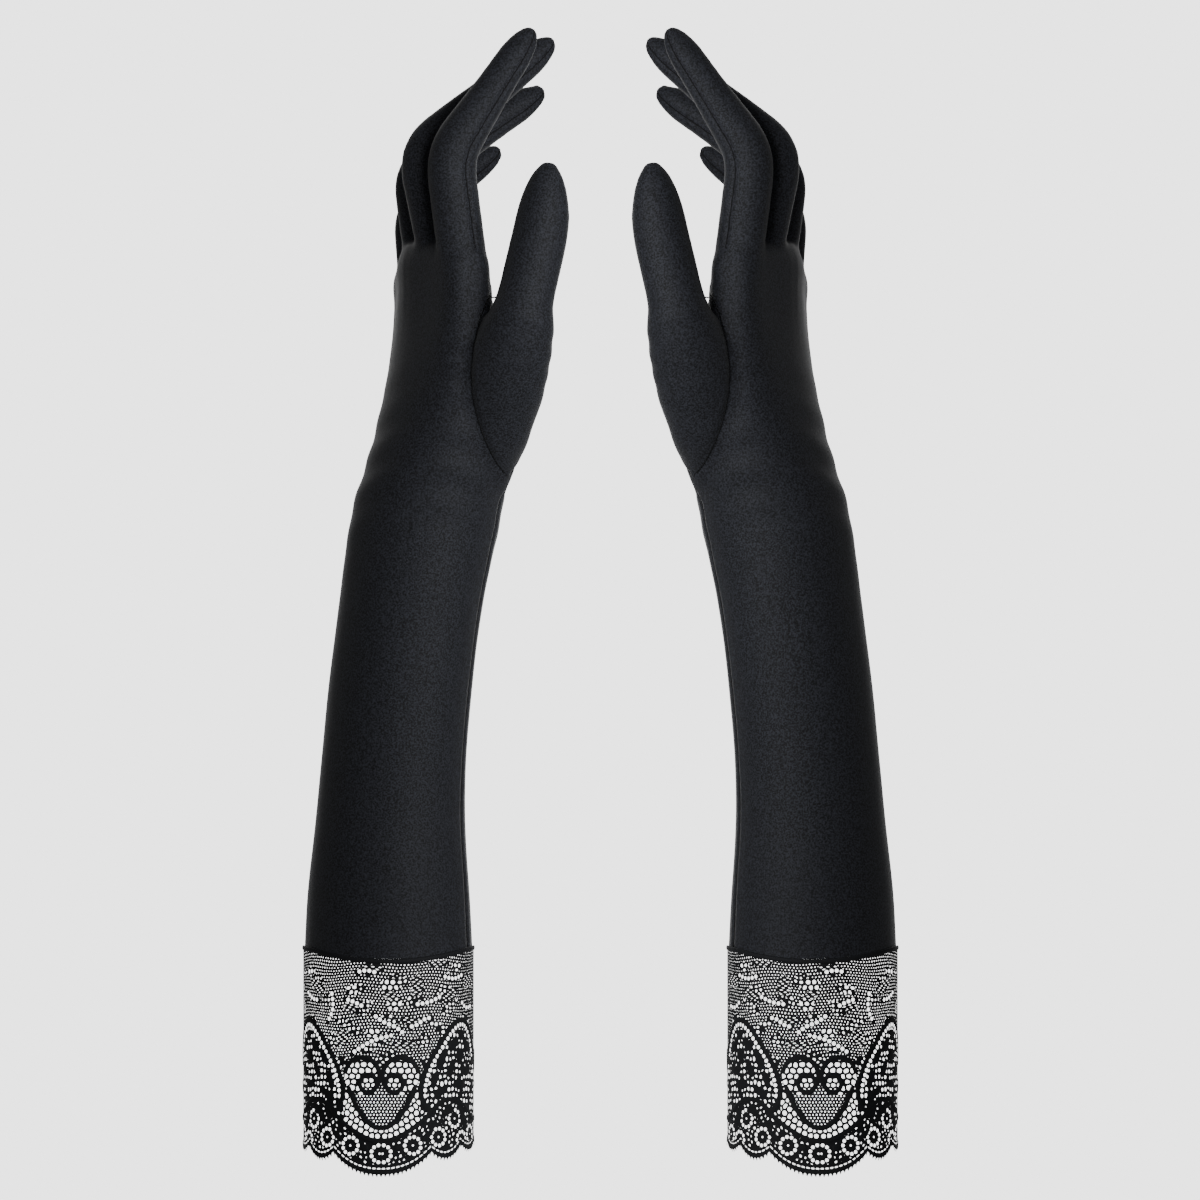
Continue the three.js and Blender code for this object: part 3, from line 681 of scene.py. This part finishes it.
def lace_panel(name, front):
    """Half of the cuff's lace, laid on a round tube; the back half mirrors the front one."""
    turn = np.arange(-math.pi / 2, math.pi / 2 + 1e-6, math.pi / round(HALF_TURN / LACE_STEP))
    z = np.arange(-1.2, CUFF_HEIGHT + CUFF_SMILE + 1, LACE_STEP)
    turn, z = np.meshgrid(turn, z, indexing="ij")
    field, relief = lace_field((turn - LACE_TURN) * LACE_R, z)
    points, faces = cut_out(field, np.stack([turn.ravel(), z.ravel(), relief.ravel()], -1))
    angle, height, raised = points.T
    r = LACE_R - 0.3 + raised
    x = CUFF_X + r * np.sin(angle)
    y = -(r - 0.6) * np.cos(angle)
    points = np.stack([x, y if front else -y, height], -1)
    return make_object(name, make_mesh(name, points, faces if front else faces[:, ::-1]))


def band_ring(name):
    """The joining band: an oval section carried round the cuff along its smile."""
    turn = np.linspace(0, 2 * math.pi, 160, endpoint=False)[:, None]
    t = np.linspace(0, 2 * math.pi, 12, endpoint=False)[None, :]
    r = CUFF_R - 0.55 + 0.5 * np.cos(t)
    x = r * np.sin(turn)
    z = CUFF_HEIGHT + 1.0 + CUFF_SMILE * np.sin(turn) ** 2 + 0.95 * np.sin(t)
    points = np.stack([CUFF_X + x, -(r - 0.6) * np.cos(turn), z + 0 * turn], -1).reshape(-1, 3)
    faces = tube_faces(160, 12)
    k = np.arange(12)
    close = np.stack([159 * 12 + k, 159 * 12 + (k + 1) % 12, (k + 1) % 12, k], -1)
    return make_object(name, make_mesh(name, points, [*faces, *close]))


# ---- materials ----


def colour(text):
    """sRGB hex to linear."""
    c = np.array([int(text[i : i + 2], 16) / 255 for i in (1, 3, 5)])
    return (*np.where(c <= 0.04045, c / 12.92, ((c + 0.055) / 1.055) ** 2.4), 1.0)


def add(tree, kind, links=(), **values):
    """A node of this kind with its values set and its inputs linked."""
    node = tree.nodes.new(kind)
    for key, value in values.items():
        if hasattr(node, key):
            setattr(node, key, value)
        else:
            node.inputs[key.replace("_", " ")].default_value = value
    for source, target in links:
        tree.links.new(source, node.inputs[target])
    return node


def new_material(name):
    material = bpy.data.materials.new(name)
    material.use_nodes = True
    tree = material.node_tree
    shader = next(n for n in tree.nodes if n.type == "BSDF_PRINCIPLED")
    return material, tree, shader


def satin_material():
    """Matte stretch satin: near black with a cool cast, soft sheen, fine crosswise grain."""
    material, tree, shader = new_material("matte black stretch satin")
    place = add(tree, "ShaderNodeTexCoord")
    fine = add(tree, "ShaderNodeTexNoise", [(place.outputs["Object"], "Vector")], Scale=1500.0, Detail=1.5)
    speck = add(tree, "ShaderNodeMapRange", [(fine.outputs["Fac"], "Value")], From_Min=0.36, From_Max=0.64)
    tone = add(tree, "ShaderNodeMix", [(speck.outputs["Result"], "Factor")], data_type="RGBA")
    tone.inputs[6].default_value = colour("#0b0c0f")
    tone.inputs[7].default_value = colour("#2a2c33")
    tree.links.new(tone.outputs[2], shader.inputs["Base Color"])
    bump = add(tree, "ShaderNodeBump", [(fine.outputs["Fac"], "Height")], Strength=0.25, Distance=0.0002)
    tree.links.new(bump.outputs["Normal"], shader.inputs["Normal"])
    shader.inputs["Roughness"].default_value = 0.7
    shader.inputs["Specular IOR Level"].default_value = 0.22
    shader.inputs["Sheen Weight"].default_value = 0.12
    shader.inputs["Sheen Roughness"].default_value = 0.45
    return material


def plain_material(name, hex_text, roughness):
    material, _, shader = new_material(name)
    shader.inputs["Base Color"].default_value = colour(hex_text)
    shader.inputs["Roughness"].default_value = roughness
    shader.inputs["Specular IOR Level"].default_value = 0.25
    return material


SATIN = satin_material()
STITCH = plain_material("seam thread, black polyester", "#0c0c0e", 0.8)
LACE = plain_material("lace yarn, black nylon", "#141518", 0.8)
BAND = plain_material("overlocked seam band, black", "#15161a", 0.75)


def dress(obj, material, slot):
    obj.data.materials.append(material)
    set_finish(obj, slot)
    return obj


# ---- the left glove's skin, its seams and its pieces ----
CUT = {"thumb": 6.0}  # how far above its knuckle a digit's own piece begins
CUT_FINGER = 9.0


def digit_height(digit, points):
    """Height of points above a digit's knuckle, along its lean, with their u and v."""
    rel = points - np.array([HAND_X, 0, 0])
    u, v, z = rel @ ACROSS, rel @ ALONG, rel[:, 2]
    lean = math.radians(digit["lean"])
    return (u - digit["u"]) * math.sin(lean) + (z - digit["z"]) * math.cos(lean), u, v


def owner_of(points):
    """0 for the sleeve, 1 to 5 for the digits in order."""
    owner = np.zeros(len(points), int)
    for number, (name, digit) in enumerate(DIGITS.items(), 1):
        height, u, v = digit_height(digit, points)
        if name == "thumb":
            mine = (v < -1.5 * PITCH - 9.6) & (height > CUT[name]) & (u > 7)
        else:
            mine = (np.abs(v - digit["v"]) < PITCH / 2) & (height > CUT_FINGER)
        owner[mine] = number
    return owner


def folds(points, normals):
    """Slack in the fabric: shallow waves at the wrist and the thumb's root, and a faint ripple all over."""
    z = points[:, 2]
    rel = points - np.array([HAND_X, 0, 0])
    u, v = rel @ ACROSS, rel @ ALONG
    wrist = np.exp(-(((z - WRIST_Z - 6) / 26) ** 2))
    lift = 0.32 * wrist * np.sin(z * 0.42 + v * 0.11 + 1.5 * np.sin(u * 0.08))
    root = np.exp(-(((z - 330) / 16) ** 2) - ((v + 40) / 16) ** 2)
    lift += 0.22 * root * np.sin(z * 0.55 - v * 0.32)
    lift += 0.1 * np.sin(z * 0.09 + v * 0.13) * np.sin(u * 0.17 + z * 0.05)
    return points + normals * lift[:, None]


def thick_piece(name, points, normals, quads):
    """Cloth CLOTH thick: the outer skin, its inner copy and the strip that joins their edges."""
    used, flat = np.unique(quads, return_inverse=True)
    quads = flat.reshape(-1, 4)
    outer, out = points[used], normals[used]
    n = len(used)
    sides = np.vstack([quads[:, [k, (k + 1) % 4]] for k in range(4)])
    key = np.sort(sides, 1)
    _, first, count = np.unique(key[:, 0] * n + key[:, 1], return_index=True, return_counts=True)
    rim = sides[first[count == 1]]
    strip = np.stack([rim[:, 1], rim[:, 0], rim[:, 0] + n, rim[:, 1] + n], -1)
    mesh = make_mesh(name, np.vstack([outer, outer - out * CLOTH]), [*quads, *(quads[:, ::-1] + n), *strip])
    mesh.normals_split_custom_set_from_vertices(np.vstack([out, -out]).tolist())
    return make_object(name, mesh)


def area_of(points, quads):
    return float(np.linalg.norm(crossed_diagonals(points, quads), axis=1).sum() / 2)


def build_left():
    """Satin and seams of the left glove: {name: (object, area in square millimetres)}."""
    co, quads = fused_skin()
    smile = SLEEVE_Z + CUFF_SMILE * np.clip((co[:, 0] - CUFF_X) / CUFF_R, -1, 1) ** 2
    keep = (co[quads, 2] > (smile - VOXEL * 0.7)[quads]).all(1)
    co = folds(co, normals_of(co, quads))
    tree = BVHTree.FromPolygons(co.tolist(), quads[:, :3].tolist() + quads[:, [0, 2, 3]].tolist())
    z_arm = np.linspace(SLEEVE_Z + 2, WRIST_Z + 3, 90)
    z_back = np.linspace(SLEEVE_Z + 2, KNUCKLE_Z - 6, 140)
    turn_back = mix(206, 191, ease(z_back, WRIST_Z - 54, KNUCKLE_Z - 19))
    runs = {
        "sleeve": [
            arm_seam(tree, z_arm, 72.0),
            arm_seam(tree, z_back, turn_back),
            gusset_front(tree),
            gusset_palm(tree),
        ]
    }
    for name, digit in DIGITS.items():
        foot = CUT.get(name, CUT_FINGER) - 4
        sides = (1,) if name == "thumb" else (1, -1)
        runs[name] = [finger_seam(tree, digit, side, foot) for side in sides]
    feet = [runs[name][side][0] for name in ("index", "middle", "ring", "little") for side in (1, 0)]
    joins = [*zip(feet[1:-1:2], feet[2::2], strict=True), (feet[-1], runs["sleeve"][1][-1])]
    runs["sleeve"] += [nearest(tree, mix(a, b, np.linspace(0, 1, 24)[:, None])) for a, b in joins]
    runs = {k: [relaxed(thin_out(run, 1.0)) for run in v] for k, v in runs.items()}
    # each seam pulls the skin in and lets it swell a little on either side
    normals = normals_of(co, quads)
    seam_points = np.vstack([run for those in runs.values() for run in those])
    gap = np.full(len(co), 1e9)
    for block in np.array_split(seam_points, max(1, len(seam_points) // 40)):
        near = np.linalg.norm(co[:, None] - block[None], axis=2).min(1)
        gap = np.minimum(gap, near)
    swell, pull = 0.16 * np.exp(-(((gap - 2.6) / 1.3) ** 2)), 0.5 * np.exp(-((gap / 1.05) ** 2))
    co = co + normals * (swell - pull)[:, None]
    low = co[:, 2] < smile + VOXEL * 0.5
    co[low, 2] = smile[low]
    normals = normals_of(co, quads)
    tree = BVHTree.FromPolygons(co.tolist(), quads[:, :3].tolist() + quads[:, [0, 2, 3]].tolist())
    owner = owner_of(co[quads].mean(1))
    made = {}
    for number, name in enumerate(["sleeve", *DIGITS]):
        mine = quads[(owner == number) & keep]
        made[name] = (thick_piece(f"left_{name}_satin", co, normals, mine), area_of(co, mine))
        snapped = [nearest(tree, run) for run in runs[name]]
        made[name + "_seams"] = (seam_cord(f"left_{name}_seams", snapped), 0)
    return made


def mirrored(obj):
    """The same mesh reflected in x = 0, with its faces turned back to face out."""
    mesh = obj.data.copy()
    name = obj.name.replace("left", "right")
    mesh.name = name
    count = len(mesh.vertices)
    co = np.empty(count * 3)
    mesh.vertices.foreach_get("co", co)
    faces = [tuple(reversed(p.vertices)) for p in mesh.polygons]
    co = co.reshape(-1, 3) * [-1, 1, 1]
    custom = None
    if mesh.has_custom_normals:
        loop_normals = np.empty(len(mesh.loops) * 3)
        mesh.corner_normals.foreach_get("vector", loop_normals)
        corner = np.empty(len(mesh.loops), int)
        mesh.loops.foreach_get("vertex_index", corner)
        custom = np.zeros((count, 3))
        custom[corner] = loop_normals.reshape(-1, 3)
        custom *= [-1, 1, 1]
    bpy.data.meshes.remove(mesh)
    mesh = make_mesh(name, co, faces, 1.0)
    if custom is not None:
        mesh.normals_split_custom_set_from_vertices(custom.tolist())
    return make_object(name, mesh)


def place(side, mirror, name, cloth, seams, area):
    """Material and slot of one piece of satin and its seams; the sleeve's pieces also go on the sleeve's
    body.
    """
    dress(cloth, SATIN, "back_satin")
    dress(seams, STITCH, "seam_band")
    sleeve = f"{side}_sleeve"
    if name == "sleeve":
        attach(cloth, sleeve)
        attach(seams, sleeve)
        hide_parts(*(f"{side}_{n}" for n in ("sleeve_back", "sleeve_palm", "thumb_gusset")))
    else:
        for obj in (cloth, seams):
            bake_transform(obj)
        nodes = ("thumb_stall",) if name == "thumb" else (f"{name}_back", f"{name}_palm")
        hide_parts(*(f"{side}_{n}" for n in nodes))


left = build_left()
lace = [lace_panel("left_lace_front", True), lace_panel("left_lace_back", False)]
ring = band_ring("left_seam_ring")
for side, mirror in (("left", 1), ("right", -1)):
    other = side == "right"
    for name in ["sleeve", *DIGITS]:
        cloth, area = left[name]
        seams = left[name + "_seams"][0]
        if other:
            cloth, seams = mirrored(cloth), mirrored(seams)
        place(side, mirror, name, cloth, seams, area)
    panels = [mirrored(p) for p in lace] if other else lace
    rim = mirrored(ring) if other else ring
    for panel in panels:
        dress(panel, LACE, "lace")
        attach(panel, f"{side}_sleeve")
    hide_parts(f"{side}_lace_cuff")
    dress(rim, BAND, "seam_band")
    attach(rim, f"{side}_sleeve")
    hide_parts(f"{side}_cuff_seam")

# ---- floor, lights and camera ----
floor_mesh = bpy.data.meshes.new("floor")
floor_mesh.from_pydata([(-3, -3, -0.06), (3, -3, -0.06), (3, 3, -0.06), (-3, 3, -0.06)], [], [(0, 1, 2, 3)])
floor = make_object("floor", floor_mesh)
floor_mesh.materials.append(plain_material("plain pale floor", "#f4f4f4", 0.9))

world = bpy.context.scene.world or bpy.data.worlds.new("studio")
bpy.context.scene.world = world
world.use_nodes = True
background = next(n for n in world.node_tree.nodes if n.type == "BACKGROUND")
background.inputs["Color"].default_value = (1, 1, 1, 1)
background.inputs["Strength"].default_value = 0.17


def backdrop():
    """A white studio sweep all round: it fills the view and lights nothing."""
    t = np.linspace(0, 2 * math.pi, 48, endpoint=False)[None, :]
    rise = np.linspace(-1.55, 1.55, 24)[:, None]
    rings = 5 * np.stack([np.cos(rise) * np.cos(t), np.cos(rise) * np.sin(t), np.sin(rise) + 0 * t], -1)
    points, faces = closed_tube(rings)
    sweep = make_object("white sweep", make_mesh("white sweep", points, [f[::-1] for f in faces], 1.0))
    material, _, shader = new_material("white studio paper, evenly lit")
    shader.inputs["Base Color"].default_value = (0, 0, 0, 1)
    shader.inputs["Emission Color"].default_value = (1, 1, 1, 1)
    shader.inputs["Emission Strength"].default_value = 3
    sweep.data.materials.append(material)
    for ray in ("diffuse", "glossy", "transmission", "shadow", "volume_scatter"):
        setattr(sweep, f"visible_{ray}", False)


def soft_light(name, place, aim, size, power, lit=(), spread=180):
    """A rectangular softbox; with lit, it lights only those pieces."""
    data = bpy.data.lights.new(name, "AREA")
    data.shape = "RECTANGLE"
    data.size, data.size_y = size
    data.energy = power
    data.spread = math.radians(spread)
    light = bpy.data.objects.new(name, data)
    light.location = place
    light.rotation_euler = (Vector(aim) - Vector(place)).to_track_quat("-Z", "Y").to_euler()
    bpy.context.scene.collection.objects.link(light)
    if lit:
        group = bpy.data.collections.new(name)
        for obj in lit:
            group.objects.link(obj)
        light.light_linking.receiver_collection = group
    return light


backdrop()
for side, mirror in (("left", 1), ("right", -1)):
    mine = [o for o in bpy.context.scene.objects if o.name.startswith(side) and "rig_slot" in o]
    # each glove is lit from the other's side, so its palm edge is the brighter one
    soft_light(f"{side} key", (mirror * 0.8, -0.95, 0.5), (-mirror * 0.08, 0, 0.3), (0.9, 1.1), 13.5, mine)
    # and a small one picks out the hand
    hand_light = (mirror * 0.22, -0.85, 0.44)
    soft_light(f"{side} hand light", hand_light, (-mirror * 0.055, 0, 0.37), (0.3, 0.2), 0.2, mine, 38)

soft_light("back softbox", (0, 1.3, 0.6), (0, 0, 0.25), (1.6, 1.2), 16)

camera_data = bpy.data.cameras.new("camera")
camera_data.type = "ORTHO"
camera_data.ortho_scale = 0.48
camera_data.clip_end = 10
camera = bpy.data.objects.new("camera", camera_data)
camera.location = (-0.0002, -2.0, 0.2304)
camera.rotation_euler = (math.pi / 2, 0, 0)
bpy.context.scene.collection.objects.link(camera)
bpy.context.scene.camera = camera
